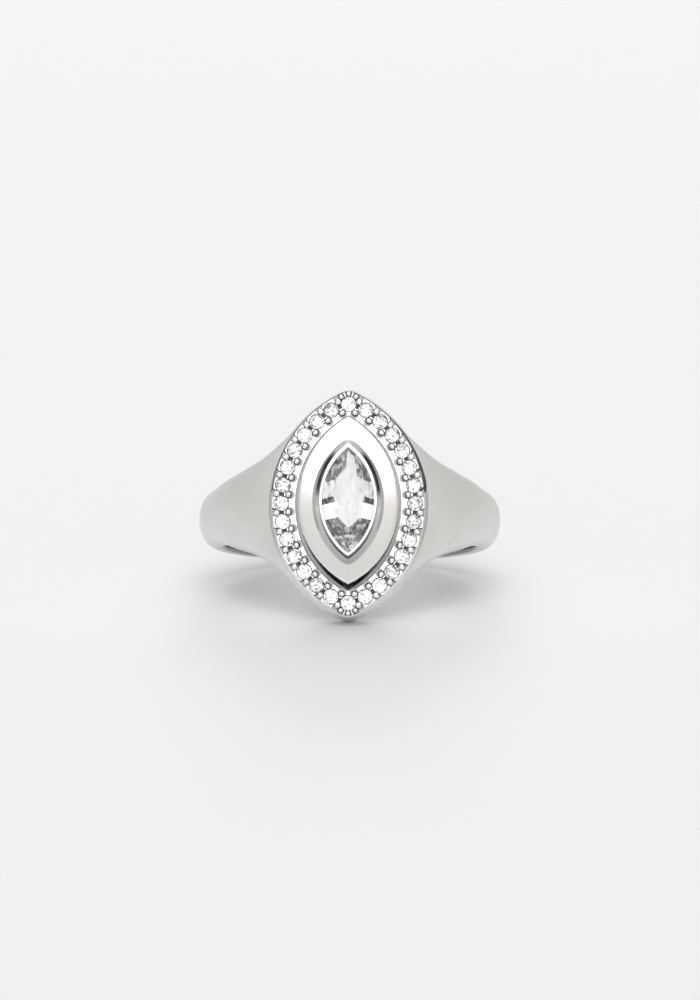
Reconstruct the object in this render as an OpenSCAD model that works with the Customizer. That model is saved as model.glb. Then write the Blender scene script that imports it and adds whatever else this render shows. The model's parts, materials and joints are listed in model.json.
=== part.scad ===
/* [Finger hole] */
// Diameter of the finger hole
hole_d = 17.2; // [16.8:0.1:17.6]
// Chamfer where the hole meets the sides of the band
hole_edge = 0.25; // [0.1:0.05:0.4]

/* [Band] */
// Wall of the band behind and beside the finger
band_wall = 1.7; // [1.5:0.05:1.9]
// Half the width of the band behind the finger
band_half_w = 1.9; // [1.6:0.05:2.1]
// How far the outside of the band is crowned
band_crown = 1.1; // [0.6:0.05:1.2]

/* [Head] */
// Distance from the finger axis to the top of the stone border
border_top = 11.3; // [11.1:0.05:11.6]
// Radius of the two arcs that the border stones are set on
border_arc = 7.56; // [7.5:0.02:7.62]
// How far each arc's centre lies past the middle
border_shift = 3.1; // [3.05:0.01:3.15]
// Metal outside the line of the border stones
border_out = 0.65; // [0.62:0.01:0.7]
// Metal inside the line of the border stones
border_in = 0.9; // [0.86:0.01:0.94]
// Distance from the middle to each blunted end of the head
head_reach = 7.54; // [7.4:0.02:7.56]

/* [Border stones] */
// Diameter of a round border stone
round_d = 1; // [0.9:0.02:1.04]
// Angle between neighbouring stones, seen from the arc's centre
stone_step = 9.3; // [9.25:0.05:9.35]
// Distance from the middle to the stone at each pointed end
end_stone_at = 6.68; // [6.64:0.01:6.72]
// Diameter of a bead of metal that holds the stones
bead_d = 0.26; // [0.2:0.01:0.3]

/* [Collar] */
// Groove between the border and the raised collar
collar_gap = 0.22; // [0.16:0.01:0.26]
// Height of the collar above the border
collar_rise = 1.1; // [0.8:0.05:1.4]
// Chamfer round the collar's top edge
collar_edge = 0.16; // [0.08:0.02:0.24]

/* [Center stone] */
// Length of the pointed center stone
center_l = 7.26; // [7.1:0.02:7.4]
// Width of the center stone
center_w = 3.64; // [3.5:0.02:3.7]
// Height of the bezel's rim above the collar
bezel_rise = 1.15; // [0.9:0.05:1.4]
// Clearance round every stone
stone_gap = 0.03; // [0.02:0.01:0.05]

/* [Hidden] */
stone_count = 28;
metal = "silver";
crystal = "lightcyan";
cut = 1;
$fn = 96;

// Angle from the middle of the head, and half the width of the ring there
FLARE = [
    [0, 7.42],
    [6, 7.05],
    [12, 6.38],
    [18, 5.5],
    [24, 4.5],
    [29, 3.85],
    [34, 3.3],
    [40, 2.82],
    [47, 2.4],
    [56, 2.12],
    [70, 1.92],
    [90, 1.85],
    [180, band_half_w],
];
// Angle from the middle of the head, and how much wider the ring is at the finger hole than outside
SKIRT = [
    [0, 0.3],
    [12, 0.5],
    [20, 0.68],
    [32, 0.62],
    [46, 0.26],
    [60, 0],
    [180, 0],
];
// Angle from the middle of the head, and what the outside stands beyond the plain band
SWELL = [
    [0, 0.2],
    [10, 0.4],
    [20, 0.66],
    [32, 0.64],
    [50, 0.4],
    [70, 0.12],
    [90, 0],
    [180, 0],
];
// Angle from the middle of the head, and how far the outside is crowned there
CROWN = [
    [0, 0.3],
    [20, 0.4],
    [40, 0.65],
    [70, 1],
    [90, 1],
];

hole_r = hole_d / 2;
band_r = hole_r + band_wall;
sections = 72;
crown_power = 2.5;
crown_steps = 4;
easing = 3;

// A table read at an angle on either side of the head, with its corners eased
function eased(angle, table) = let (a = abs(angle))
    (lookup(abs(a - easing), table) + 2 * lookup(a, table) + lookup(a + easing, table)) / 4;
function half_width(angle) = eased(angle, FLARE);
function outside(angle) = band_r + eased(angle, SWELL);
function crown(angle) = eased(angle, CROWN) * band_crown;

// Outline of the ring where it is cut at an angle, as distance from the finger axis and height along it
function crown_curve(angle) = let (w = half_width(angle), c = crown(angle), r = outside(angle) - c)
    [for (i = [-crown_steps : crown_steps]) let (t = 90 * i / crown_steps)
        [r + c * pow(cos(t), 2 / crown_power), w * sign(t) * pow(abs(sin(t)), 2 / crown_power)]];
function foot_width(angle) = half_width(angle) + eased(angle, SKIRT);
function section(angle) = let (w = foot_width(angle), deep = 2 * hole_edge)
    concat(
        [[hole_r - hole_edge, -w + deep], [hole_r + hole_edge, -w]],
        crown_curve(angle),
        [[hole_r + hole_edge, w], [hole_r - hole_edge, w - deep]]
    );

// The head looks along -y, and the finger axis is z
function section_points(angle) = [for (p = section(angle)) [p.x * sin(angle), -p.x * cos(angle), p.y]];
function wrap(i, n) = (i + n) % n;
function sweep_faces(rings, m) = [for (i = [0 : rings - 1], j = [0 : m - 1], half = [0, 1])
    let (a = i * m, b = wrap(i + 1, rings) * m, k = wrap(j + 1, m))
        half == 0 ? [a + j, b + k, b + j] : [a + j, a + k, b + k]];

// How far the crowned outside reaches in a direction, given by its shares across and along the finger axis
dual_power = crown_power / (crown_power - 1);
function rounded(a, b) = pow(pow(a, dual_power) + pow(b, dual_power), 1 / dual_power);
function reach(angle, radial, axial) = radial * (outside(angle) - crown(angle))
    + rounded(crown(angle) * radial, half_width(angle) * axial);

// How the ring lies: on the head's lower end and on the lower edge of the band behind the finger
end_foot = [hole_r + hole_edge, foot_width(0)];
function foot_gap(tilt) = reach(180, sin(tilt), cos(tilt)) + end_foot.x * sin(tilt) - end_foot.y * cos(tilt);
function level_tilt(low, high, turns) = let (mid = (low + high) / 2)
    turns == 0 ? mid
    : foot_gap(mid) < 0 ? level_tilt(mid, high, turns - 1)
    : level_tilt(low, mid, turns - 1);
rest_tilt = level_tilt(5, 40, 24);
lift = reach(180, sin(rest_tilt), cos(rest_tilt));

// Two arcs that meet in points, given by their half length and half width
function arc_r(half_l, half_w) = (half_l * half_l + half_w * half_w) / (2 * half_w);

// Heights above the finger axis, along the head's own axis
border_floor = border_top - 2;
collar_top = border_top + collar_rise;
rim_top = collar_top + bezel_rise;
waist_top = collar_top + 0.45;

// Parts of each round stone, and how low it sits in the border
round_crown = 0.16 * round_d;
round_girdle = 0.03;
round_pavilion = 0.42 * round_d;
stone_seat = border_top - 0.08;
seat_point_r = 0.1;

// Parts of the center stone, whose table is level with the rim
center_crown = 0.42;
center_girdle = 0.08;
center_pavilion = 1.45;
center_seat = rim_top - center_crown;

// Arcs of the center stone and of its bezel, which is widest at the collar
center_r = arc_r(center_l / 2, center_w / 2);
center_shift = center_r - center_w / 2;
rim_w = 0.12;
waist_w = 0.24;
foot_w = 0.55;
rim_over = 0.09;

// Notches, recesses and beads between the stones, and the groove inside the border
notch_r = 0.27;
notch_depth = 0.5;
recess_r = 0.26;
recess_depth = 0.3;
bead_out = 0.38;
bead_in = 0.43;
bead_rise = 0.02;
bead_root = 0.6;
end_bead_at = 0.69;
end_bead_d = 0.22;
groove_depth = 0.35;

// How far the ring reaches before and behind the finger axis as it lies
front = -(rim_top * cos(rest_tilt) + (center_l / 2 + rim_w) * sin(rest_tilt));
back = reach(180, cos(rest_tilt), sin(rest_tilt));

// Places of the border stones, clockwise from the head's upper point, with their outward direction
side_stones = (stone_count - 2) / 2;
middle_stone = (side_stones + 3) / 2;
function arc_place(turn, side) = let (a = turn * stone_step)
    [side * (border_arc * cos(a) - border_shift), border_arc * sin(a)];
function stone_place(i) =
    i == 1 ? [0, end_stone_at]
    : i == side_stones + 2 ? [0, -end_stone_at]
    : i < side_stones + 2 ? arc_place(middle_stone - i, 1)
    : arc_place(i - middle_stone - side_stones - 1, -1);
function next_stone(i) = i % stone_count + 1;
function unit(v) = v / norm(v);
function gap_place(i, out) = let (a = stone_place(i), b = stone_place(next_stone(i)), d = unit(b - a))
    (a + b) / 2 + out * [-d.y, d.x];

// Lays the ring on its side, with the middle of its box over the origin
module lay_down() {
    translate([0, -(front + back) / 2, lift]) rotate([-rest_tilt, 0, 0]) children();
}

// Turns z to the head's own axis and y to the finger axis, at a height above the finger
module on_head(height) {
    rotate([90, 0, 0]) translate([0, 0, height]) children();
}

// A pointed plate between two arcs, whose side may lean in towards its top
module pointed_plate(r, shift, h, lean = 0) {
    intersection() {
        translate([-shift, 0, 0]) cylinder(r1 = r, r2 = r - lean, h = h);
        translate([shift, 0, 0]) cylinder(r1 = r, r2 = r - lean, h = h);
    }
}

// Band, shoulders and the lower part of the head in one flowing form
module shank() {
    points = [for (i = [0 : sections - 1]) each section_points(360 * i / sections - 180)];
    polyhedron(points, sweep_faces(sections, len(section(0))), convexity = 6);
}

// Plate that carries the border stones, blunted at both points
module border_plate() {
    on_head(border_floor) intersection() {
        pointed_plate(border_arc + border_out, border_shift, border_top - border_floor);
        cylinder(r = head_reach, h = border_top - border_floor);
    }
}

// Raised plate inside the border
module collar() {
    r = border_arc - border_in - collar_gap;
    on_head(border_floor) pointed_plate(r, border_shift, collar_top - collar_edge - border_floor);
    on_head(collar_top - collar_edge) pointed_plate(r, border_shift, collar_edge, collar_edge);
}

// Wall round the center stone, drawn in above the collar
module bezel() {
    foot_r = center_r + foot_w;
    waist_r = center_r + waist_w;
    on_head(border_top) pointed_plate(foot_r, center_shift, collar_top - border_top);
    on_head(collar_top) pointed_plate(foot_r, center_shift, waist_top - collar_top, foot_w - waist_w);
    on_head(waist_top) pointed_plate(waist_r, center_shift, rim_top - waist_top, waist_w - rim_w);
}

// Bullet-shaped bead that stands in the cut metal
module bead(place, d) {
    post = bead_root + bead_rise;
    on_head(border_top - bead_root) translate(place) rotate_extrude($fn = 24) {
        square([d / 2, post]);
        translate([0, post]) intersection() {
            circle(d = d);
            square(d);
        }
    }
}

// Groove between the border and the collar
module groove() {
    r = border_arc - border_in;
    on_head(border_top - groove_depth) difference() {
        pointed_plate(r, border_shift, groove_depth + cut);
        translate([0, 0, -cut]) pointed_plate(r - collar_gap, border_shift, groove_depth + 3 * cut);
    }
}

// Open seat of a round stone, with a cone under it
module round_seat() {
    r = round_d / 2 + stone_gap;
    ledge = stone_seat - round_girdle - stone_gap;
    translate([0, 0, ledge]) cylinder(r = r, h = cut, $fn = 32);
    translate([0, 0, ledge - round_pavilion])
        cylinder(r1 = seat_point_r, r2 = r, h = round_pavilion, $fn = 32);
}

// Pocket of the center stone, narrower above it where the rim laps over
module center_pocket() {
    r = center_r + stone_gap;
    ledge = center_seat - center_girdle - stone_gap;
    depth = center_pavilion + stone_gap;
    on_head(ledge - depth) pointed_plate(r - depth, center_shift, depth, -depth);
    on_head(ledge) pointed_plate(r, center_shift, center_girdle + 2 * stone_gap);
    on_head(ledge) pointed_plate(center_r - rim_over, center_shift, rim_top - ledge + cut);
}

module stone_cuts() {
    for (i = [1 : stone_count]) {
        on_head(0) translate(stone_place(i)) round_seat();
        on_head(border_top - notch_depth) translate(gap_place(i, border_out))
            cylinder(r = notch_r, h = cut, $fn = 24);
        on_head(border_top - recess_depth) translate(gap_place(i, -bead_in))
            cylinder(r = recess_r, h = cut, $fn = 24);
    }
}

// A bead at each end of every gap, and three more round each pointed end
module beads() {
    for (i = [1 : stone_count], out = [bead_out, -bead_in]) {
        bead(gap_place(i, out), bead_d);
    }
    for (end = [-1, 1], turn = [-45, 0, 45]) {
        bead(end * [end_bead_at * sin(turn), end_stone_at + end_bead_at * cos(turn)], end_bead_d);
    }
}

module ring_body() {
    color(metal) lay_down() union() {
        difference() {
            union() {
                shank();
                border_plate();
                collar();
                bezel();
            }
            cylinder(r = hole_r, h = 4 * head_reach, center = true);
            groove();
            center_pocket();
            stone_cuts();
        }
        beads();
    }
}

// A brilliant cut from sixteen points of its girdle outline, with an eight-sided table
module brilliant(outline, crown_h, girdle_h, pavilion_h, table = 0.55, star = 0.8, lower = 0.3) {
    n = len(outline);
    k = n / 2;
    star_z = crown_h * (1 - star * cos(180 / k)) / (1 - table);
    lower_z = pavilion_h * (1 - lower * cos(180 / k));
    points = concat(
        [for (j = [0 : k - 1]) [table * outline[2 * j].x, table * outline[2 * j].y, crown_h]],
        [for (j = [0 : k - 1]) [star * outline[2 * j + 1].x, star * outline[2 * j + 1].y, star_z]],
        [for (p = outline) [p.x, p.y, 0]],
        [for (p = outline) [p.x, p.y, -girdle_h]],
        [for (j = [0 : k - 1]) let (p = lower * outline[2 * j + 1]) [p.x, p.y, -girdle_h - lower_z]],
        [[0, 0, -girdle_h - pavilion_h]]
    );
    s = k;
    g = 2 * k;
    u = g + n;
    l = u + n;
    culet = l + k;
    facets = concat(
        [[for (j = [0 : k - 1]) k - 1 - j]],
        [for (j = [0 : k - 1]) [j, wrap(j + 1, k), s + j]],
        [for (j = [0 : k - 1]) [j, s + j, g + 2 * j]],
        [for (j = [0 : k - 1]) [j, g + 2 * j, s + wrap(j - 1, k)]],
        [for (j = [0 : k - 1]) [g + 2 * j, s + j, g + 2 * j + 1]],
        [for (j = [0 : k - 1]) [s + j, g + wrap(2 * j + 2, n), g + 2 * j + 1]],
        [for (j = [0 : n - 1]) [g + j, g + wrap(j + 1, n), u + wrap(j + 1, n), u + j]],
        [for (j = [0 : k - 1]) [u + 2 * j, u + 2 * j + 1, l + j]],
        [for (j = [0 : k - 1]) [u + 2 * j + 1, u + wrap(2 * j + 2, n), l + j]],
        [for (j = [0 : k - 1]) [u + 2 * j, l + j, culet]],
        [for (j = [0 : k - 1]) [u + 2 * j, culet, l + wrap(j - 1, k)]]
    );
    polyhedron(points, facets, convexity = 2);
}

module center_stone() {
    tip = asin(center_l / 2 / center_r);
    side = [for (i = [0 : 7]) let (a = tip * (1 - i / 4))
        [center_r * cos(a) - center_shift, center_r * sin(a)]];
    outline = concat(side, -side);
    color(crystal) lay_down() on_head(center_seat)
        brilliant(outline, center_crown, center_girdle, center_pavilion);
}

module border_stone(i) {
    outline = [for (a = [0 : 22.5 : 337.5]) round_d / 2 * [cos(-a), sin(-a)]];
    color(crystal) lay_down() on_head(stone_seat) translate(stone_place(i))
        brilliant(outline, round_crown, round_girdle, round_pavilion);
}

ring_body();
center_stone();
for (i = [1 : stone_count]) {
    border_stone(i);
}
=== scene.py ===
import bmesh
import bpy
import json
from math import atan2, copysign, cos, pi, radians, sin, sqrt
from mathutils import Matrix, Vector


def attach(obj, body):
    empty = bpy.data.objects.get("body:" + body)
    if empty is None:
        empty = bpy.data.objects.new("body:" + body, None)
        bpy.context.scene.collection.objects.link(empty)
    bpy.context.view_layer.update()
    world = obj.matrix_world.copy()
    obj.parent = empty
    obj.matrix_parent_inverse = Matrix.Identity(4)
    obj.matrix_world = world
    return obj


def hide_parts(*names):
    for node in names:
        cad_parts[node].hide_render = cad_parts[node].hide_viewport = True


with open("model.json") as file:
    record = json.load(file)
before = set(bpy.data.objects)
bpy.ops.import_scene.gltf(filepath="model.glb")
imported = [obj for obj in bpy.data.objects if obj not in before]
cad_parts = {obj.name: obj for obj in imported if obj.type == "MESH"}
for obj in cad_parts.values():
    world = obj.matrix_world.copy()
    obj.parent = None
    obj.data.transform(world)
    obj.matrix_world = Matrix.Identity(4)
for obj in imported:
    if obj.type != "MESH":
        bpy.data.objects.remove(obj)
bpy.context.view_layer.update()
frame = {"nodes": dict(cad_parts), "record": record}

# The finger hole's mount says where the ring's middle is and how far the finger axis leans
hole = next(m for m in frame["record"]["mounts"] if m["name"] == "finger_hole")
holeRadius = hole["dims"]["r_mm"]
restTilt = atan2(hole["axis"][1], hole["axis"][2])
ringMiddle = Vector(hole["pos_m"])
lengthway = Vector((0, sin(restTilt), cos(restTilt)))  # along the finger, up
headDirection = Vector((0, -cos(restTilt), sin(restTilt)))  # the way the head looks

# Metal is modelled in millimetres round the finger axis (z), with the head towards -y.
# Head pieces are modelled with z as the height above the finger and y along it.
ringPlace = (Matrix.Translation(ringMiddle) @ Matrix.Rotation(-restTilt, 4, "X")
             @ Matrix.Scale(0.001, 4))
headPlace = ringPlace @ Matrix.Rotation(pi / 2, 4, "X")
closeBy = 0.01  # in mm, how near to a place a point has to be to count as on it
mergeDistance = 0.001  # in mm, points nearer than this are made one


def deselectAll():
    if bpy.context.object and bpy.context.object.mode != "OBJECT":
        bpy.ops.object.mode_set(mode="OBJECT")
    bpy.ops.object.select_all(action="DESELECT")


def pick(*pieces):
    deselectAll()
    for piece in pieces:
        piece.select_set(True)
    bpy.context.view_layer.objects.active = pieces[0]


def editPiece(piece):
    pick(piece)
    bpy.ops.object.mode_set(mode="EDIT")
    bpy.ops.mesh.select_all(action="DESELECT")


def selectWhere(piece, test, kind="vertex"):
    # selects what passes the test, in edit mode
    mesh = bmesh.from_edit_mesh(piece.data)
    modes = (kind == "vertex", kind == "edge", kind == "face")
    bpy.context.tool_settings.mesh_select_mode = modes
    for item in (*mesh.verts, *mesh.edges, *mesh.faces):
        item.select = False
    for item in {"vertex": mesh.verts, "edge": mesh.edges, "face": mesh.faces}[kind]:
        if test(item):
            item.select_set(True)
    mesh.select_flush_mode()
    bmesh.update_edit_mesh(piece.data)


def joinPieces(pieces, name):
    pick(*pieces)
    if len(pieces) > 1:
        bpy.ops.object.join()
    pieces[0].name = name
    return pieces[0]


def copyPiece(piece, place):
    copy = piece.copy()
    copy.data = piece.data.copy()
    copy.matrix_world = place
    bpy.context.collection.objects.link(copy)
    return copy


def applyPlace(piece, place=None):
    if place is not None:
        piece.matrix_world = place @ piece.matrix_world
    pick(piece)
    bpy.ops.object.transform_apply(location=True, rotation=True, scale=True)


def finishPiece(piece, place, smoothAngle):
    applyPlace(piece, place)
    editPiece(piece)
    bpy.ops.mesh.select_all(action="SELECT")
    bpy.ops.mesh.normals_make_consistent(inside=False)
    bpy.ops.object.mode_set(mode="OBJECT")
    bpy.ops.object.shade_smooth_by_angle(angle=radians(smoothAngle))
    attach(piece, "root")


# Materials
silverLook = {
    # each finish: its colour, the colour that wear shades it to, roughness and grain strength
    "finishes": {
        "satinSilver": ((0.87, 0.86, 0.845, 1), (0.78, 0.77, 0.755, 1), (0.58, 0.66), 0.12),
        "polishedSilver": ((0.93, 0.92, 0.905, 1), (0.84, 0.83, 0.815, 1), (0.06, 0.12), 0.02),
        "softSilver": ((0.93, 0.92, 0.905, 1), (0.84, 0.83, 0.815, 1), (0.12, 0.18), 0.015),
        # a darker copy of the silver: painted shade on the bezel's slope
        "shadedSilver": ((0.57, 0.56, 0.55, 1), (0.5, 0.49, 0.48, 1), (0.06, 0.12), 0.02),
        "beadSilver": ((0.97, 0.97, 0.965, 1), (0.93, 0.92, 0.905, 1), (0.36, 0.44), 0.02),
        # a darker copy of the silver: painted shade inside the bore
        "boreShadeSilver": ((0.42, 0.41, 0.4, 1), (0.35, 0.34, 0.33, 1), (0.12, 0.18), 0.03),
        # painted shade: grey for the groove, notches and recesses
        "greyRecessShade": ((0.36, 0.355, 0.35, 1), (0.27, 0.265, 0.26, 1), (0.2, 0.3), 0.05),
        # painted shade: near black for gaps, creases and cuts
        "darkRecessShade": ((0.1, 0.098, 0.095, 1), (0.05, 0.049, 0.048, 1), (0.2, 0.35), 0.1),
        # a darker copy of the silver: painted shade on the head's side
        "wallShadeSilver": ((0.6, 0.59, 0.58, 1), (0.53, 0.52, 0.51, 1), (0.36, 0.44), 0.02),
        # painted shade: dark grey for the lip beside the collar
        "lipShadeSilver": ((0.19, 0.187, 0.184, 1), (0.15, 0.148, 0.145, 1), (0.12, 0.18), 0.03),
        # painted shade: black, fading into shadedSilver up the walls
        "shadeFadeSilver": ((0.07, 0.069, 0.068, 1), (0.04, 0.04, 0.04, 1), (0.12, 0.18), 0.03),
    },
    # along the finger these turn into another finish's colour, as painted shade and highlight:
    # places in mm and the share there
    "fades": {
        # painted highlight: the bezel's slope is brighter beside the middle and at the upper point
        "shadedSilver": ("polishedSilver", (
            (-2.2, 0), (-1, 0.2), (-0.3, 0.6), (0.8, 0.6), (1.6, 0.2), (2.5, 0), (3.3, 0.35),
        )),
        # painted shade: the head's side is darker beside the middle
        "wallShadeSilver": ("polishedSilver", ((-5, 1), (-2.2, 0), (2.2, 0), (5, 1))),
        # painted shade: the raised walls are black at the lower point
        "shadeFadeSilver": ("shadedSilver", ((-2.6, 0), (-0.9, 1))),
    },
    "fadeReach": 8,
    "wear": 420,
    "wearDetail": 5,
    "grain": 2600,
    "grainDetail": 3,
    "grainDepth": 0.00001,
}


def valueNode(nodes, links, operation, *values):
    # a Math or Vector Math node whose inputs are numbers, vectors or other nodes' outputs
    node = nodes.new("ShaderNodeVectorMath" if operation == "DOT_PRODUCT" else "ShaderNodeMath")
    node.operation = operation
    for socket, value in zip(node.inputs, values):
        if isinstance(value, bpy.types.NodeSocket):
            links.new(value, socket)
        else:
            socket.default_value = value
    return node.outputs["Value"]


def rampNode(nodes, links, value, marks, interpolation="LINEAR"):
    # marks hold a place between 0 and 1 and a grey value or a colour
    node = nodes.new("ShaderNodeValToRGB")
    links.new(value, node.inputs["Fac"])
    ramp = node.color_ramp
    ramp.interpolation = interpolation
    while len(ramp.elements) < len(marks):
        ramp.elements.new(1)
    for point, (place, color) in zip(ramp.elements, marks):
        point.position = place
        point.color = color if isinstance(color, tuple) else (color, color, color, 1)
    return node.outputs["Color"]


def noiseNode(nodes, links, place, scale, detail=2):
    node = nodes.new("ShaderNodeTexNoise")
    node.inputs["Scale"].default_value = scale
    node.inputs["Detail"].default_value = detail
    links.new(place, node.inputs["Vector"])
    return node.outputs["Fac"]


def cellNode(nodes, links, place, scale):
    # a different random value in each cell of the surface
    cells = nodes.new("ShaderNodeTexVoronoi")
    cells.inputs["Scale"].default_value = scale
    links.new(place, cells.inputs["Vector"])
    split = nodes.new("ShaderNodeSeparateColor")
    links.new(cells.outputs["Color"], split.inputs["Color"])
    return split.outputs["Red"]


def alongNode(nodes, links, place, middle, reach):
    # runs from 0 to 1 along the finger, from reach mm below the middle to reach mm above it
    along = valueNode(nodes, links, "DOT_PRODUCT", place, lengthway)
    start = ringMiddle.dot(lengthway) + middle / 1000
    along = valueNode(nodes, links, "SUBTRACT", along, start)
    return valueNode(nodes, links, "MULTIPLY_ADD", along, 500 / reach, 0.5)


def marksAlong(marks, reach):
    # turns places in mm into places on the run from 0 to 1
    return tuple((0.5 + place / 2 / reach, value) for place, value in marks)


def metalMaterial(name):
    color, shade, roughness, grainStrength = silverLook["finishes"][name]
    material = bpy.data.materials.new(name)
    material.use_nodes = True
    nodes, links = material.node_tree.nodes, material.node_tree.links
    shader = nodes["Principled BSDF"]
    shader.inputs["Metallic"].default_value = 1
    place = nodes.new("ShaderNodeTexCoord").outputs["Object"]
    patches = noiseNode(nodes, links, place, silverLook["wear"], silverLook["wearDetail"])
    tone = nodes.new("ShaderNodeMix")
    tone.data_type = "RGBA"
    tone.inputs["A"].default_value = color
    tone.inputs["B"].default_value = shade
    links.new(patches, tone.inputs["Factor"])
    if name in silverLook["fades"]:
        other, marks = silverLook["fades"][name]
        reach = silverLook["fadeReach"]
        along = alongNode(nodes, links, place, 0, reach)
        fade = nodes.new("ShaderNodeMix")
        fade.data_type = "RGBA"
        fade.inputs["B"].default_value = silverLook["finishes"][other][0]
        share = rampNode(nodes, links, along, marksAlong(marks, reach))
        links.new(share, fade.inputs["Factor"])
        links.new(tone.outputs["Result"], fade.inputs["A"])
        tone = fade
    links.new(tone.outputs["Result"], shader.inputs["Base Color"])
    gloss = nodes.new("ShaderNodeMapRange")
    gloss.inputs["To Min"].default_value, gloss.inputs["To Max"].default_value = roughness
    links.new(patches, gloss.inputs["Value"])
    links.new(gloss.outputs["Result"], shader.inputs["Roughness"])
    relief = nodes.new("ShaderNodeBump")
    relief.inputs["Strength"].default_value = grainStrength
    relief.inputs["Distance"].default_value = silverLook["grainDepth"]
    grain = noiseNode(nodes, links, place, silverLook["grain"], silverLook["grainDetail"])
    links.new(grain, relief.inputs["Height"])
    links.new(relief.outputs["Normal"], shader.inputs["Normal"])
    return material


satinSilver = metalMaterial("satinSilver")
polishedSilver = metalMaterial("polishedSilver")
softSilver = metalMaterial("softSilver")
shadedSilver = metalMaterial("shadedSilver")
beadSilver = metalMaterial("beadSilver")
boreShadeSilver = metalMaterial("boreShadeSilver")
greyRecessShade = metalMaterial("greyRecessShade")
darkRecessShade = metalMaterial("darkRecessShade")
wallShadeSilver = metalMaterial("wallShadeSilver")
lipShadeSilver = metalMaterial("lipShadeSilver")
shadeFadeSilver = metalMaterial("shadeFadeSilver")

stoneLook = {
    "ior": 1.25,
    "coat": 0.25,
    "coatIor": 2.1,
    "coatRoughness": 0.02,
    "facetRoughness": 0.3,
    # painted light: how strongly the lower facets glow
    "paintedGlow": 0.34,
    # heights above the finger axis, in mm, and how far below them the clear crown begins
    "girdles": {"border": 11.22, "centre": 13.13},
    "crownMargin": 0.01,
    # painted reflections in the lower facets, from light to dark, and the colour of their painted
    # glow at the lightest
    "bright": (1.6, 1.6, 1.6, 1),
    "tones": (
        (0.22, (1, 1, 1, 1)),
        (0.4, (0.62, 0.62, 0.63, 1)),
        (0.62, (0.26, 0.26, 0.265, 1)),
        (0.95, (0.05, 0.05, 0.055, 1)),
    ),
    # the border stones' specks of painted reflection grow denser from this depth in mm below the
    # girdle upwards
    "specks": 9000,
    "speckPatches": 1000,
    "speckPatchStrength": 3.2,
    "speckDepth": 0.25,
    "speckRise": 2400,
    "speckStart": 1.1,
    "speckShare": 0.28,
    "speckLimit": 0.5,
    # the centre stone's streaks of painted reflection
    "streaks": 6500,
    "streakStretch": 0.4,
    "streakStrength": 0.55,
    "halfLength": 3.7,
    "middle": 0.15,
    "slant": 0.3,
    # the bright kite of painted reflection in the middle of the centre stone: place along the stone
    # and half width, in mm
    "kiteRight": (
        (-1.92, 0), (-1.2, 0.75), (0, 0.95), (0.8, 1.1), (1.26, 0.92), (1.5, 0.55), (2.8, 0.4),
        (3.1, 0),
    ),
    "kiteLeft": (
        (-1.92, 0), (-1.33, 0.57), (-0.86, 0.8), (0.26, 0.95), (1.08, 0.8), (1.6, 0.57),
        (2.0, 0.12), (3.05, 0.03),
    ),
    "kiteShare": 0.27,
    "kiteMottle": 0.15,
    # how dark the painted reflection in the facets beside it is: place along the stone where each
    # kind begins
    "sides": (
        (-3.7, 0.55), (-3.0, 0.58), (-2.3, 0.68), (-1.0, -0.3), (0.04, 0.86), (0.46, 0.18),
        (1.5, 0.6), (3.1, 0.55),
    ),
}


def centreShare(nodes, links, place):
    # how dark the painted reflection in the lower facets of the centre stone is: 0 is light, 1 is
    # dark
    look, reach = stoneLook, stoneLook["halfLength"]
    axes = nodes.new("ShaderNodeSeparateXYZ")
    links.new(place, axes.inputs["Vector"])
    across = valueNode(nodes, links, "MULTIPLY", axes.outputs["X"], 1000)
    aside = valueNode(nodes, links, "ABSOLUTE", across)
    along = alongNode(nodes, links, place, look["middle"], reach)
    chosen = nodes.new("ShaderNodeMix")
    links.new(valueNode(nodes, links, "GREATER_THAN", across, 0), chosen.inputs["Factor"])
    for side, socket in (("kiteLeft", "A"), ("kiteRight", "B")):
        halfWidth = rampNode(nodes, links, along, marksAlong(look[side], reach))
        links.new(valueNode(nodes, links, "LESS_THAN", aside, halfWidth), chosen.inputs[socket])
    kite = chosen.outputs["Result"]
    # the bands at the sides slant down outward
    slant = valueNode(nodes, links, "MULTIPLY_ADD", aside, look["slant"] / 2 / reach, along)
    lowest = min(dark for start, dark in look["sides"])
    marks = marksAlong([(start, dark - lowest) for start, dark in look["sides"]], reach)
    bands = valueNode(nodes, links, "ADD", rampNode(nodes, links, slant, marks, "CONSTANT"), lowest)
    stretch = nodes.new("ShaderNodeMapping")
    stretch.inputs["Rotation"].default_value = (restTilt, 0, 0)
    stretch.inputs["Scale"].default_value = (1, 1, look["streakStretch"])
    links.new(place, stretch.inputs["Vector"])
    cells = cellNode(nodes, links, stretch.outputs["Vector"], look["streaks"])
    streaks = valueNode(nodes, links, "SUBTRACT", cells, 0.5)
    share = valueNode(nodes, links, "MULTIPLY_ADD", streaks, look["streakStrength"], bands)
    outside = valueNode(nodes, links, "SUBTRACT", 1, kite)
    share = valueNode(nodes, links, "MULTIPLY", share, outside)
    # the kite itself is only faintly mottled
    faint = valueNode(nodes, links, "MULTIPLY_ADD", streaks, look["kiteMottle"], look["kiteShare"])
    faint = valueNode(nodes, links, "MULTIPLY", faint, kite)
    return valueNode(nodes, links, "ADD", share, faint)


def borderShare(nodes, links, place, height):
    # painted reflections: the border stones have small dark specks near the edge, more in some
    # stones than in others
    look = stoneLook
    girdle = ringMiddle.dot(headDirection) + look["girdles"]["border"] / 1000
    cells = cellNode(nodes, links, place, look["specks"])
    patches = noiseNode(nodes, links, place, look["speckPatches"])
    rise = valueNode(nodes, links, "SUBTRACT", height, girdle - look["speckDepth"] / 1000)
    rise = valueNode(nodes, links, "MULTIPLY", rise, look["speckRise"])
    share = valueNode(nodes, links, "MULTIPLY_ADD", patches, look["speckPatchStrength"], rise)
    share = valueNode(nodes, links, "SUBTRACT", share, look["speckStart"])
    share = valueNode(nodes, links, "MULTIPLY", share, look["speckShare"])
    share = valueNode(nodes, links, "ADD", share, cells)
    return valueNode(nodes, links, "SUBTRACT", share, look["speckLimit"])


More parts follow.
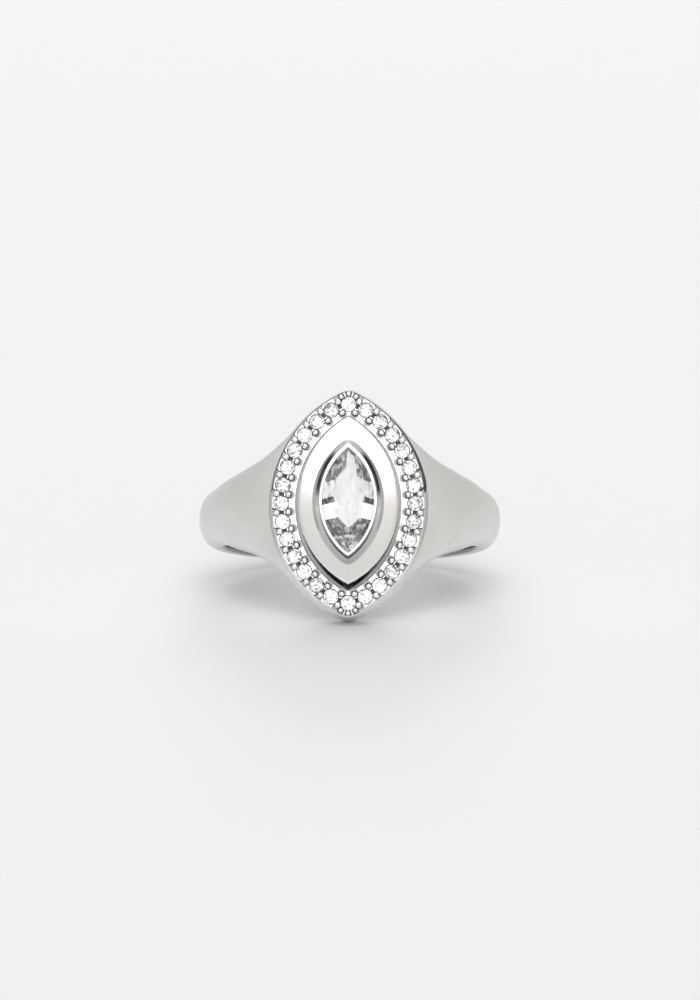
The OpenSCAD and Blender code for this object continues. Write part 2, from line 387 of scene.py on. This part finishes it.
def stoneMaterial(name, kind):
    # a clear crown over lower facets painted with reflections, dark or bright and glowing
    look = stoneLook
    material = bpy.data.materials.new(name)
    material.use_nodes = True
    nodes, links = material.node_tree.nodes, material.node_tree.links
    crown = nodes["Principled BSDF"]
    crown.inputs["IOR"].default_value = look["ior"]
    crown.inputs["Transmission Weight"].default_value = 1
    crown.inputs["Roughness"].default_value = 0
    crown.inputs["Coat Weight"].default_value = look["coat"]
    crown.inputs["Coat IOR"].default_value = look["coatIor"]
    crown.inputs["Coat Roughness"].default_value = look["coatRoughness"]
    facets = nodes.new("ShaderNodeBsdfPrincipled")
    facets.inputs["Roughness"].default_value = look["facetRoughness"]
    facets.inputs["Emission Strength"].default_value = look["paintedGlow"]
    place = nodes.new("ShaderNodeTexCoord").outputs["Object"]
    height = valueNode(nodes, links, "DOT_PRODUCT", place, headDirection)
    if kind == "centre":
        share = centreShare(nodes, links, place)
    else:
        share = borderShare(nodes, links, place, height)
    links.new(rampNode(nodes, links, share, look["tones"]), facets.inputs["Base Color"])
    # painted light: the lower facets glow in their painted colours, brightest where lightest
    glow = rampNode(nodes, links, share, ((0, look["bright"]), *look["tones"]))
    links.new(glow, facets.inputs["Emission Color"])
    crownFrom = ringMiddle.dot(headDirection) + (look["girdles"][kind] - look["crownMargin"]) / 1000
    both = nodes.new("ShaderNodeMixShader")
    links.new(valueNode(nodes, links, "GREATER_THAN", height, crownFrom), both.inputs["Fac"])
    links.new(facets.outputs["BSDF"], both.inputs[1])
    links.new(crown.outputs["BSDF"], both.inputs[2])
    links.new(both.outputs["Shader"], nodes["Material Output"].inputs["Surface"])
    return material


borderStone = stoneMaterial("borderStone", "border")
centreStone = stoneMaterial("centreStone", "centre")
print("materials ready")

# Band, shoulders and head wall, spun round the finger and then widened station by station
shankSize = {
    "wall": 1.7,
    "halfWidth": 1.9,
    "crown": 1.1,
    "crownFullness": 0.5,
    "crownSegments": 9,
    "holeEdge": 0.25,
    "holeEdgeSegments": 3,
    "boreCuts": 5,
    "boreShade": 0.15,
    "steps": 120,
    "smoothAngle": 50,
    # angle from the middle of the head: half width, extra width at the foot, swell of the outside,
    # share of the crown
    "stations": {
        0: (7.42, 0.22, 0.2, 0.3),
        6: (7.05, 0.4, 0.3, 0.33),
        12: (6.38, 0.5, 0.45, 0.36),
        18: (5.5, 0.64, 0.6, 0.39),
        24: (4.5, 0.66, 0.66, 0.45),
        29: (3.85, 0.64, 0.65, 0.51),
        34: (3.3, 0.57, 0.61, 0.57),
        40: (2.92, 0.41, 0.52, 0.65),
        47: (2.55, 0.34, 0.44, 0.73),
        56: (2.25, 0.29, 0.32, 0.84),
        70: (1.87, 0.17, 0.12, 1),
        90: (1.85, 0.03, 0, 1),
        135: (1.93, 0, 0, 1),
        180: (1.9, 0, 0, 1),
    },
}


def smoothStation(angle):
    # a smooth curve through the stations, which the two halves of the ring share
    stations = shankSize["stations"]
    marks = sorted(stations)
    marks = [-marks[1]] + marks + [360 - marks[-2]]
    angle = abs(angle)
    i = max(k for k in range(1, len(marks) - 2) if marks[k] <= angle or k == 1)
    values = [stations[abs(m) if m <= 180 else 360 - m] for m in marks[i - 1 : i + 3]]
    m0, m1, m2, m3 = marks[i - 1 : i + 3]
    t = (angle - m1) / (m2 - m1)
    result = []
    for v0, v1, v2, v3 in zip(*values):
        startSlope = (v2 - v0) / (m2 - m0) * (m2 - m1)
        endSlope = (v3 - v1) / (m3 - m1) * (m2 - m1)
        result.append(
            (2 * t**3 - 3 * t**2 + 1) * v1 + (t**3 - 2 * t**2 + t) * startSlope
            + (3 * t**2 - 2 * t**3) * v2 + (t**3 - t**2) * endSlope
        )
    return result


def buildShank():
    size = shankSize
    outer = holeRadius + size["wall"]
    deselectAll()
    bpy.ops.mesh.primitive_plane_add(size=2, rotation=(pi / 2, 0, 0))
    piece = bpy.context.object
    piece.name = "shank"
    applyPlace(piece)
    editPiece(piece)
    # profile: a square whose outer corners are rounded until they meet, then widened to the band
    bpy.ops.mesh.select_all(action="SELECT")
    bpy.ops.transform.resize(value=(size["wall"] / 2, 1, size["crown"]))
    bpy.ops.transform.translate(value=(holeRadius + size["wall"] / 2, 0, 0))
    selectWhere(piece, lambda v: v.co.x > outer - closeBy)
    bpy.ops.mesh.bevel(
        offset=size["crown"], segments=size["crownSegments"], profile=size["crownFullness"],
        affect="VERTICES",
    )
    bpy.ops.mesh.select_all(action="SELECT")
    bpy.ops.mesh.remove_doubles(threshold=mergeDistance)
    widening = size["halfWidth"] / size["crown"]
    bpy.ops.transform.resize(value=(1, 1, widening), center_override=(0, 0, 0))
    selectWhere(piece, lambda v: v.co.x < holeRadius + closeBy)
    bpy.ops.mesh.bevel(
        offset=size["holeEdge"], segments=size["holeEdgeSegments"], affect="VERTICES"
    )
    selectWhere(piece, lambda f: True, "face")
    bpy.ops.mesh.delete(type="ONLY_FACE")
    # the bore side is cut in steps too, so that smooth shading keeps it even
    selectWhere(piece, lambda e: all(v.co.x < holeRadius + closeBy for v in e.verts), "edge")
    bpy.ops.mesh.subdivide(number_cuts=size["boreCuts"])
    bpy.ops.mesh.select_all(action="SELECT")
    bpy.ops.mesh.spin(steps=size["steps"], angle=2 * pi, center=(0, 0, 0), axis=(0, 0, 1))
    bpy.ops.mesh.select_all(action="SELECT")
    bpy.ops.mesh.remove_doubles(threshold=mergeDistance)
    # stations
    bpy.context.tool_settings.mesh_select_mode = (True, False, False)
    step = 360 / size["steps"]
    crownFrom = outer - size["crown"] - closeBy
    mesh = bmesh.from_edit_mesh(piece.data)
    groups = {}
    for v in mesh.verts:
        number = round(atan2(v.co.y, v.co.x) / radians(step)) % size["steps"]
        groups.setdefault(number, []).append(v.index)
    for number, members in groups.items():
        turn = radians(number * step)
        fromHead = (number * step + 90 + 180) % 360 - 180
        halfWidth, skirt, swell, crownShare = smoothStation(fromHead)
        outward = Vector((cos(turn), sin(turn), 0))
        mesh = bmesh.from_edit_mesh(piece.data)
        mesh.verts.ensure_lookup_table()
        band = [mesh.verts[i] for i in members]
        crowned = [v for v in band if v.co.xy.length > crownFrom]
        foot = [v for v in band if v.co.xy.length <= crownFrom]
        for group, width in ((crowned, halfWidth), (foot, halfWidth + skirt)):
            bpy.ops.mesh.select_all(action="DESELECT")
            for v in group:
                v.select_set(True)
            widening = width / size["halfWidth"]
            bpy.ops.transform.resize(value=(1, 1, widening), center_override=(0, 0, 0))
        bpy.ops.mesh.select_all(action="DESELECT")
        for v in crowned:
            v.select_set(True)
        bpy.ops.transform.resize(value=(crownShare, crownShare, 1), center_override=outward * outer)
        bpy.ops.transform.translate(value=outward * swell)
    bpy.ops.object.mode_set(mode="OBJECT")
    for material in (satinSilver, boreShadeSilver):
        piece.data.materials.append(material)
    # painted shade: faces near the bore are darker
    for face in piece.data.polygons:
        face.material_index = int(face.center.xy.length < holeRadius + size["boreShade"])
    finishPiece(piece, ringPlace, size["smoothAngle"])
    return piece


shank = buildShank()
print("shank ready")

# Head: a pointed plate with cut seats, a raised collar and the bezel of the centre stone
headSize = {
    "borderTop": 11.3,
    "borderArc": 7.56,
    "borderShift": 3.1,
    "borderOut": 0.65,
    "borderIn": 0.9,
    "tipRound": 0.9,
    "tipLeast": 0.04,
    "stoneCount": 28,
    "stoneStep": 9.3,
    "endStoneAt": 6.68,
    "grooveDepth": 0.4,
    "collarRise": 1.1,
    "arcSteps": 48,
    "tipSteps": 6,
}


def addOutline(radius, shift, tip, height):
    # one corner, spun along the right arc, round the upper tip, along the left arc and round
    # the lower tip; the operator turns the other way, hence the minus
    tipCentre = sqrt((radius - tip) ** 2 - shift**2)
    turn = atan2(tipCentre, shift)
    start = (radius * cos(turn) - shift, -radius * sin(turn), height)
    bpy.ops.mesh.select_mode(type="VERT")
    bpy.ops.mesh.select_all(action="DESELECT")
    bpy.ops.mesh.primitive_plane_add(size=1, location=start)
    bpy.ops.mesh.merge(type="CENTER")
    steps, tipSteps = headSize["arcSteps"], headSize["tipSteps"]
    for count, angle, centre in (
        (steps, 2 * turn, (-shift, 0, height)),
        (tipSteps, pi - 2 * turn, (0, tipCentre, height)),
        (steps, 2 * turn, (shift, 0, height)),
        (tipSteps, pi - 2 * turn, (0, -tipCentre, height)),
    ):
        bpy.ops.mesh.spin(steps=count, angle=-angle, center=centre, axis=(0, 0, 1))


def pointedSolid(name, shift, tip, levels, material=None):
    # walls through pointed outlines, each level a radius and a height, closed at both ends;
    # neighbouring levels differ in height, because a bridge within one plane can cross itself
    deselectAll()
    bpy.ops.mesh.primitive_plane_add(size=1)
    piece = bpy.context.object
    piece.name = name
    editPiece(piece)
    bpy.ops.mesh.select_all(action="SELECT")
    bpy.ops.mesh.delete(type="VERT")
    level = bmesh.from_edit_mesh(piece.data).verts.layers.int.new("level")
    widest = max(radius for radius, height in levels)
    for number, (radius, height) in enumerate(levels, 1):
        addOutline(radius, shift, max(tip + radius - widest, headSize["tipLeast"]), height)
        selectWhere(piece, lambda v: v[level] == 0)
        bpy.ops.mesh.remove_doubles(threshold=mergeDistance)
        for v in bmesh.from_edit_mesh(piece.data).verts:
            v[level] = v[level] or number
        if number > 1:
            last = (number - 1, number)
            selectWhere(piece, lambda e: e.verts[0][level] == e.verts[1][level] in last, "edge")
            bpy.ops.mesh.bridge_edge_loops()
    for number in (1, len(levels)):
        selectWhere(piece, lambda e: e.verts[0][level] == e.verts[1][level] == number, "edge")
        bpy.ops.mesh.edge_face_add()
    bmesh.from_edit_mesh(piece.data).verts.layers.int.remove(level)
    bpy.ops.mesh.select_all(action="SELECT")
    bpy.ops.mesh.normals_make_consistent(inside=False)
    bpy.ops.object.mode_set(mode="OBJECT")
    if material:
        piece.data.materials.append(material)
    return piece


def stonePlaces():
    # clockwise from the upper point, seen from the front
    size = headSize
    side = (size["stoneCount"] - 2) // 2
    turns = [radians(((side - 1) / 2 - k) * size["stoneStep"]) for k in range(side)]
    arc = [
        Vector((size["borderArc"] * cos(a) - size["borderShift"], size["borderArc"] * sin(a)))
        for a in turns
    ]
    right = [Vector((0, size["endStoneAt"]))] + arc
    return right + [-p for p in right]


def gapPlaces(outward):
    # places between neighbouring stones, moved outward, each with the direction of the border there
    places = stonePlaces()
    found = []
    for here, after in zip(places, places[1:] + places[:1]):
        along = (after - here).normalized()
        found.append(((here + after) / 2 + Vector((-along.y, along.x)) * outward, along))
    return found


def cutAway(piece, cutter):
    pick(piece)
    cut = piece.modifiers.new("cut", "BOOLEAN")
    cut.object = cutter
    cut.operation = "DIFFERENCE"
    cut.solver = "EXACT"
    cut.use_self = True
    bpy.ops.object.modifier_apply(modifier=cut.name)
    bpy.data.objects.remove(cutter)


plateSize = {
    # how far the wall stands out from the top edge, and the height there
    "wall": (
        (0.36, 9.0), (0.24, 9.5), (0.14, 9.9), (0.1, 10.3), (0.08, 10.7), (0.075, 10.86),
        (0.005, 10.9), (0, 11.2), (-0.03, 11.26), (-0.07, 11.3),
    ),
    "footHeight": 0.1,
    "footCut": 0.035,
    # a ledge between these heights is painted as a dark line of shade beside the upper half
    "ledge": (10.86, 10.9),
    "ledgeFrom": 0.85,
    # beside the right shoulder it is wider: how much, above which height, where along the finger
    # that starts and is full, and how far from there it dies away
    "ledgeRight": (0.16, 9.8, 0.7, 1.3, 5),
    "grooveEdge": 0.1,
    "grooveMore": 0.04,
    "grooveReach": 6,
    # the lip beside the collar widens between these places, and is painted dark with shade below
    # the first
    "lip": 0.13,
    "lipRise": 0.001,
    "lipLeast": 0.1,
    "lipFade": (-1, -3.5),
    "lipTipClear": 0.25,
    # radius and depth of what is cut into the plate
    "seat": (0.545, 0.5),
    "notch": (0.27, 0.16),
    "notchShadow": (0.28, 0.12),
    "web": (0.2, 0.35),
    "recess": (0.3, 0.1),
    "ring": (0.24, 0.3),
    "cutterSides": 32,
    "notchShift": 0.07,
    "notchShiftRight": 2.6,  # as many times further at the upper right
    "webOut": 0.06,
    "recessIn": 0.54,
    "smoothAngle": 35,
}
beadSize = {
    "out": 0.38,
    "in": 0.43,
    "radius": 0.185,
    "height": 0.65,
    "depth": 3,
    "lift": 0.02,
    "segments": 16,
    "rings": 10,
    "outerStretch": 1.15,
    "endAt": 0.69,
    "endTurn": 45,
    "endShare": 0.84,
    "smoothAngle": 60,
}


def endBeadPlaces():
    # three round the outer side of each end stone
    away = beadSize["endAt"]
    turns = [radians(t * beadSize["endTurn"]) for t in (-1, 0, 1)]
    return [
        end * Vector((away * sin(t), headSize["endStoneAt"] + away * cos(t)))
        for end in (-1, 1) for t in turns
    ]


def shapePlate(piece, inner, outer):
    size, top = plateSize, headSize["borderTop"]
    ledge = size["ledge"][0]
    more, above, start, full, reach = size["ledgeRight"]
    lipStart, lipEnd = size["lipFade"]
    for v in piece.data.vertices:
        outward = Vector((v.co.x + copysign(headSize["borderShift"], v.co.x), v.co.y, 0))
        if v.co.z < size["wall"][0][1] + size["footHeight"] and v.co.y < 0:
            # the foot at the lower point stays above the surface that the ring lies on
            v.co.y *= 1 - size["footCut"] * (v.co.y / outer) ** 2
        elif above < v.co.z < ledge + closeBy and v.co.x > 0 and v.co.y > start:
            share = (v.co.y - start) / (full - start)
            share = min(share, max(1 - (v.co.y - full) / reach, 0))
            v.co += outward.normalized() * more * share * (v.co.z - above) / (ledge - above)
        elif outward.length < inner + 2 * closeBy and v.co.y > 0:
            v.co.y += size["grooveMore"] * v.co.y / size["grooveReach"]
        elif v.co.z > top and abs(outward.length - inner - size["lip"]) < closeBy:
            share = min(max((v.co.y - lipStart) / (lipEnd - lipStart), size["lipLeast"]), 1)
            v.co -= outward.normalized() * size["lip"] * (1 - share)
            if v.co.y > 0:
                v.co.y += size["grooveMore"] * v.co.y / size["grooveReach"]


def buildBorderPlate():
    size, top = plateSize, headSize["borderTop"]
    outer = headSize["borderArc"] + headSize["borderOut"]
    inner = headSize["borderArc"] - headSize["borderIn"]
    levels = [(outer + out, height) for out, height in size["wall"]]
    levels += [
        (inner + size["lip"], top + size["lipRise"]),
        (inner, top + 2 * size["lipRise"]),
        (inner, top - headSize["grooveDepth"]),
    ]
    tip = headSize["tipRound"] + max(out for out, height in size["wall"])
    piece = pointedSolid("borderPlate", headSize["borderShift"], tip, levels)
    metals = {
        "bright": polishedSilver, "dark": darkRecessShade, "grey": greyRecessShade, "lip": lipShadeSilver,
        "wall": wallShadeSilver,
    }
    number = {name: i for i, name in enumerate(metals)}
    for material in metals.values():
        piece.data.materials.append(material)
    low, high = size["ledge"]
    grooveReach = headSize["borderArc"] - headSize["borderShift"]
    # painted shade: grey in the groove, a dark line on the ledge, a darker wall beside the middle,
    # a dark lip
    for face in piece.data.polygons:
        x, y, z = face.center
        fromMiddle = Vector((abs(x) + headSize["borderShift"], y)).length
        if z < top - size["grooveEdge"] and face.center.xy.length < grooveReach:
            face.material_index = number["grey"]
        elif low < z < high and y > size["ledgeFrom"]:
            face.material_index = number["dark"]
        elif z < low:
            face.material_index = number["wall"]
        elif (z > top and inner < fromMiddle < inner + size["lip"]
              and y < size["lipFade"][0] and abs(x) > size["lipTipClear"]):
            face.material_index = number["lip"]
    shapePlate(piece, inner, outer)
    gaps = [p for p, along in gapPlaces(headSize["borderOut"])]
    shift = Vector((0, size["notchShift"]))
    upperRight = size["notchShiftRight"]
    shadows = [p + shift * (upperRight if p.x > 0 and p.y > 0 else 1) for p in gaps]
    beads = [p for p, along in gapPlaces(beadSize["out"]) + gapPlaces(-beadSize["in"])]
    cutters = []
    # the cuts carry painted shade: dark seats, shadows above the notches, webs and rings round the
    # beads, grey notches and recesses
    for name, metal, places in (
        ("seat", "dark", stonePlaces()),
        ("notch", "grey", gaps),
        ("notchShadow", "dark", shadows),
        ("web", "dark", [p for p, along in gapPlaces(size["webOut"])]),
        ("recess", "grey", [p for p, along in gapPlaces(-size["recessIn"])]),
        ("ring", "dark", beads + endBeadPlaces()),
    ):
        radius, depth = size[name]
        deselectAll()
        bpy.ops.mesh.primitive_cylinder_add(
            vertices=size["cutterSides"], radius=radius, depth=1, location=(0, 0, top + 0.5 - depth)
        )
        cutter = bpy.context.object
        applyPlace(cutter)
        for material in metals.values():
            cutter.data.materials.append(material)
        for face in cutter.data.polygons:
            face.material_index = number[metal]
        cutters += [copyPiece(cutter, Matrix.Translation(p.to_3d())) for p in places]
        bpy.data.objects.remove(cutter)
    cutAway(piece, joinPieces(cutters, "seatCutters"))
    finishPiece(piece, headPlace, size["smoothAngle"])
    return piece


borderPlate = buildBorderPlate()
print("border plate ready")


def buildBeads():
    size = beadSize
    height = headSize["borderTop"] + size["lift"]
    beads = []
    for places, width, stretch in (
        (gapPlaces(size["out"]), 1, size["outerStretch"]),
        (gapPlaces(-size["in"]), 1, 1),
        ([(p, Vector((1, 0))) for p in endBeadPlaces()], size["endShare"], size["endShare"]),
    ):
        deselectAll()
        bpy.ops.mesh.primitive_uv_sphere_add(
            segments=size["segments"], ring_count=size["rings"], radius=size["radius"]
        )
        bead = bpy.context.object
        editPiece(bead)
        selectWhere(bead, lambda v: v.co.z < -mergeDistance)  # drawn down into the plate
        bpy.ops.transform.resize(value=(1, 1, size["depth"]), center_override=(0, 0, 0))
        selectWhere(bead, lambda v: v.co.z > mergeDistance)
        bpy.ops.transform.resize(value=(1, 1, size["height"]), center_override=(0, 0, 0))
        bpy.ops.object.mode_set(mode="OBJECT")
        for p, along in places:
            turn = Matrix.Rotation(atan2(along.y, along.x), 4, "Z")
            shape = Matrix.Diagonal((width, stretch, 1, 1))
            beads.append(copyPiece(bead, Matrix.Translation((p.x, p.y, height)) @ turn @ shape))
        bpy.data.objects.remove(bead)
    for bead in beads:
        applyPlace(bead)
    piece = joinPieces(beads, "borderBeads")
    finishPiece(piece, headPlace, size["smoothAngle"])
    piece.data.materials.append(beadSilver)
    return piece


borderBeads = buildBeads()
print("beads ready")

collarSize = {
    "radius": 6.63,
    "shift": 3.28,
    "tip": 0.1,
    "foot": 0.05,
    "edge": 0.08,
    "edgeSteps": 4,
    # loops across the top, how far in they are, and how much each mm inward rises
    "loops": (0.2, 0.4, 0.7, 0.9, 1.1, 1.3),
    "loopRise": 0.005,
    "pocketRise": 0.2,
    "shadeAbove": 0.12,
    "domeFrom": 0.2,
    "domeRadius": 45,
    "summit": 1.3,
    # the side wall slopes at the lower point
    "lowTipCut": 0.28,
    "lowTipFrom": {"left": 1.7, "right": 2.5},
    "lowTipPower": {"left": 1.1, "right": 1.7},
    "lowTipAt": 5.7,
    "smoothAngle": 50,
}


def buildCollar():
    size, plateTop = collarSize, headSize["borderTop"]
    top = plateTop + headSize["collarRise"]
    low = plateTop - headSize["grooveDepth"] - size["foot"]
    radius, edge, steps = size["radius"], size["edge"], size["edgeSteps"]
    levels = [(radius, low), (radius, plateTop + size["shadeAbove"])]
    for k in range(steps + 1):
        turn = k * pi / 2 / steps
        levels.append((radius - edge * (1 - cos(turn)), top - edge * (1 - sin(turn))))
    levels += [(radius - inward, top + inward * size["loopRise"]) for inward in size["loops"]]
    levels.append((radius - size["loops"][-1], low + size["pocketRise"]))
    piece = pointedSolid("collar", size["shift"], size["tip"], levels, softSilver)
    for material in (darkRecessShade, shadeFadeSilver):
        piece.data.materials.append(material)
    # painted shade on the collar's side: dark below the plate's top, black above it at the lower
    # point
    for face in piece.data.polygons:
        if face.center.z < top - edge - closeBy:
            face.material_index = 1 if face.center.z < plateTop else 2
    for v in piece.data.vertices:
        side = "left" if v.co.x < 0 else "right"
        start = size["lowTipFrom"][side]
        if v.co.z > plateTop + size["domeFrom"]:
            fromSummit = v.co.x**2 + (v.co.y - size["summit"]) ** 2
            v.co.z -= fromSummit / 2 / size["domeRadius"]
            share = max(-v.co.y - start, 0) / (size["lowTipAt"] - start)
            v.co.y += size["lowTipCut"] * share ** size["lowTipPower"][side]
    finishPiece(piece, headPlace, size["smoothAngle"])
    return piece


collar = buildCollar()

# Bezel of the centre stone, from its foot on the collar up to the rim and down into the pocket
bezelSize = {
    "length": 7.26,
    "width": 3.64,
    "rise": 1.15,
    # how far out from the stone's edge, and the height above the collar
    "wall": (
        (0.57, -0.95), (0.57, 0.03), (0.45, 0.115), (0.442, 0.2), (0.23, 0.43), (0.165, 1.1),
        (0.16, 1.125), (0.147, 1.14), (0.125, 1.1496), (0.07, 1.15), (-0.05, 1.1504), (-0.08, 1.13),
        (-0.09, 1.08), (-0.09, -0.87),
    ),
    "tipRound": 0.6,
    "rimDepth": 0.08,
    "steepAbove": 0.5,
    "steepLimit": 0.3,
    # how much narrower the rim is in the middle of its sides and in its lower half,
    # as a share of its place
    "sideThinner": 0.035,
    "sideAbove": 0.08,
    "sideOut": 0.1,
    "lowThinner": 0.02,
    "lowAbove": 1,
    "lowReach": 2,
    "smoothAngle": 28,
}


def centreArc():
    halfLength, halfWidth = bezelSize["length"] / 2, bezelSize["width"] / 2
    arc = (halfLength**2 + halfWidth**2) / (2 * halfWidth)
    return arc, arc - halfWidth


def buildBezel():
    size = bezelSize
    arc, shift = centreArc()
    collarTop = headSize["borderTop"] + headSize["collarRise"]
    levels = [(arc + out, collarTop + rise) for out, rise in size["wall"]]
    piece = pointedSolid("bezel", shift, size["tipRound"], levels, polishedSilver)
    for material in (shadedSilver, shadeFadeSilver):
        piece.data.materials.append(material)
    # below the rim the slope gets painted shade, black on its steep upper part
    for face in piece.data.polygons:
        rise = face.center.z - collarTop
        if rise < size["rise"] - size["rimDepth"]:
            steep = rise > size["steepAbove"] and abs(face.normal.z) < size["steepLimit"]
            face.material_index = 2 if steep else 1
    for v in piece.data.vertices:
        fromMiddle = Vector((abs(v.co.x) + shift, v.co.y)).length
        if v.co.z > collarTop + size["sideAbove"] and fromMiddle > arc + size["sideOut"]:
            v.co.x *= 1 - size["sideThinner"] * max(1 - (v.co.y / size["length"] * 2) ** 2, 0)
            if v.co.z > collarTop + size["lowAbove"]:
                v.co.xy *= 1 - size["lowThinner"] * min(max(-v.co.y / size["lowReach"], 0), 1)
    finishPiece(piece, headPlace, size["smoothAngle"])
    return piece


bezel = buildBezel()
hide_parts("ring_body")
print("head ready")

for name, node in frame["nodes"].items():
    if "stone" in name:
        node.data.materials.clear()
        node.data.materials.append(borderStone if name.startswith("border") else centreStone)

# Floor, lights and camera
stageSize = {
    "floor": 6,
    "floorColor": (0.745, 0.742, 0.743, 1),
    "floorRoughness": 0.7,
    # lights from behind: size, power, distance, degrees above the floor and colour;
    # the low one draws the shadow out towards the camera
    "lights": {
        "topLight": ((1.3, 0.9), 2.5, 1.5, 42, (0.93, 0.975, 1)),
        "lowLight": ((3.3, 3.3), 490, 10, 18, (0.86, 0.94, 1)),
    },
    "cameraDistance": 0.43,
    "cameraBelow": 6,
    "cameraAside": 0.004,
    "clip": (0.01, 20),
    "sensor": 36,
    "picture": (700, 1000),
    "pixelsPerMm": 14.6,
    "ringPixel": (349.9, 520.5),
}

deselectAll()
bpy.ops.mesh.primitive_plane_add(size=stageSize["floor"])
floor = bpy.context.object
floor.name = "floor"
paleFloor = bpy.data.materials.new("paleFloor")
paleFloor.use_nodes = True
floorShader = paleFloor.node_tree.nodes["Principled BSDF"]
floorShader.inputs["Base Color"].default_value = stageSize["floorColor"]
floorShader.inputs["Roughness"].default_value = stageSize["floorRoughness"]
floor.data.materials.append(paleFloor)


def around(distance, azimuth, height):
    # a place seen from the ring: azimuth 0 is in front of the head, height is in degrees
    a, h = radians(azimuth), radians(height)
    return ringMiddle + distance * Vector((sin(a) * cos(h), -cos(a) * cos(h), sin(h)))


def addLight(name, size, power, place, color):
    deselectAll()
    bpy.ops.object.light_add(type="AREA", location=place)
    light = bpy.context.object
    light.name = name
    light.data.shape = "RECTANGLE"
    light.data.size, light.data.size_y = size
    light.data.energy = power
    light.data.color = color
    light.rotation_euler = (ringMiddle - place).to_track_quat("-Z", "Y").to_euler()
    light.visible_camera = False
    light.visible_glossy = False


for name, (size, power, distance, height, color) in stageSize["lights"].items():
    addLight(name, size, power, around(distance, 180, height), color)

# The studio: an even surround with soft bright and dark patches, each with azimuth, height,
# radius, softness and strength
studioLook = {
    "surround": 0.65,
    "least": 0.02,
    "color": (1, 0.987, 0.978, 1),
    "patches": {
        "frontSoftbox": (0, 47, 24, 3, 1.9),
        "frontLow": (0, 6, 15, 6, 0.11),
        "frontGlow": (0, 38, 24, 7, 0.12),
        "above": (0, 90, 28, 10, 0.5),
        "backLight": (180, 50, 40, 12, 0.17),
        "sideLeft": (-62, 32, 22, 10, -0.12),
        "sideRight": (62, 32, 22, 10, -0.12),
        "darkLeftLow": (-100, 17, 9, 4, -0.6),
        "darkLeftHigh": (-109, 32, 9, 4, -0.6),
        "darkRightLow": (100, 17, 9, 4, -0.6),
        "darkRightHigh": (109, 32, 9, 4, -0.6),
    },
}
world = bpy.data.worlds.new("studio")
bpy.context.scene.world = world
world.use_nodes = True
nodes, links = world.node_tree.nodes, world.node_tree.links
direction = nodes.new("ShaderNodeTexCoord").outputs["Generated"]
strength = studioLook["surround"]
for azimuth, height, radius, softness, value in studioLook["patches"].values():
    toward = (around(1, azimuth, height) - ringMiddle).normalized()
    facing = valueNode(nodes, links, "DOT_PRODUCT", direction, toward)
    patch = nodes.new("ShaderNodeMapRange")
    patch.interpolation_type = "SMOOTHSTEP"
    patch.inputs["From Min"].default_value = radians(radius - softness)
    patch.inputs["From Max"].default_value = radians(radius + softness)
    patch.inputs["To Min"].default_value = value
    patch.inputs["To Max"].default_value = 0
    links.new(valueNode(nodes, links, "ARCCOSINE", facing), patch.inputs["Value"])
    strength = valueNode(nodes, links, "ADD", strength, patch.outputs["Result"])
strength = valueNode(nodes, links, "MAXIMUM", strength, studioLook["least"])
nodes["Background"].inputs["Color"].default_value = studioLook["color"]
links.new(strength, nodes["Background"].inputs["Strength"])

# The camera looks at the head from a little below the ring's middle plane
elevation = restTilt - radians(stageSize["cameraBelow"])
back = Vector((0, -cos(elevation), sin(elevation)))
upward = Vector((0, sin(elevation), cos(elevation)))
sideways = Vector((1, 0, 0))
distance, pixelsPerMm = stageSize["cameraDistance"], stageSize["pixelsPerMm"]
pixelX, pixelY = stageSize["ringPixel"]
wide, high = stageSize["picture"]
offset = upward * (pixelY - high / 2) + sideways * (wide / 2 - pixelX)
aim = ringMiddle + offset / pixelsPerMm / 1000
deselectAll()
bpy.ops.object.camera_add(location=aim + back * distance + sideways * stageSize["cameraAside"])
camera = bpy.context.object
camera.rotation_euler = (aim - camera.location).to_track_quat("-Z", "Y").to_euler()
camera.data.lens = pixelsPerMm * distance * 1000 * stageSize["sensor"] / high
camera.data.clip_start, camera.data.clip_end = stageSize["clip"]
bpy.context.scene.camera = camera
bpy.context.scene.view_settings.view_transform = "Standard"
print("stage ready")
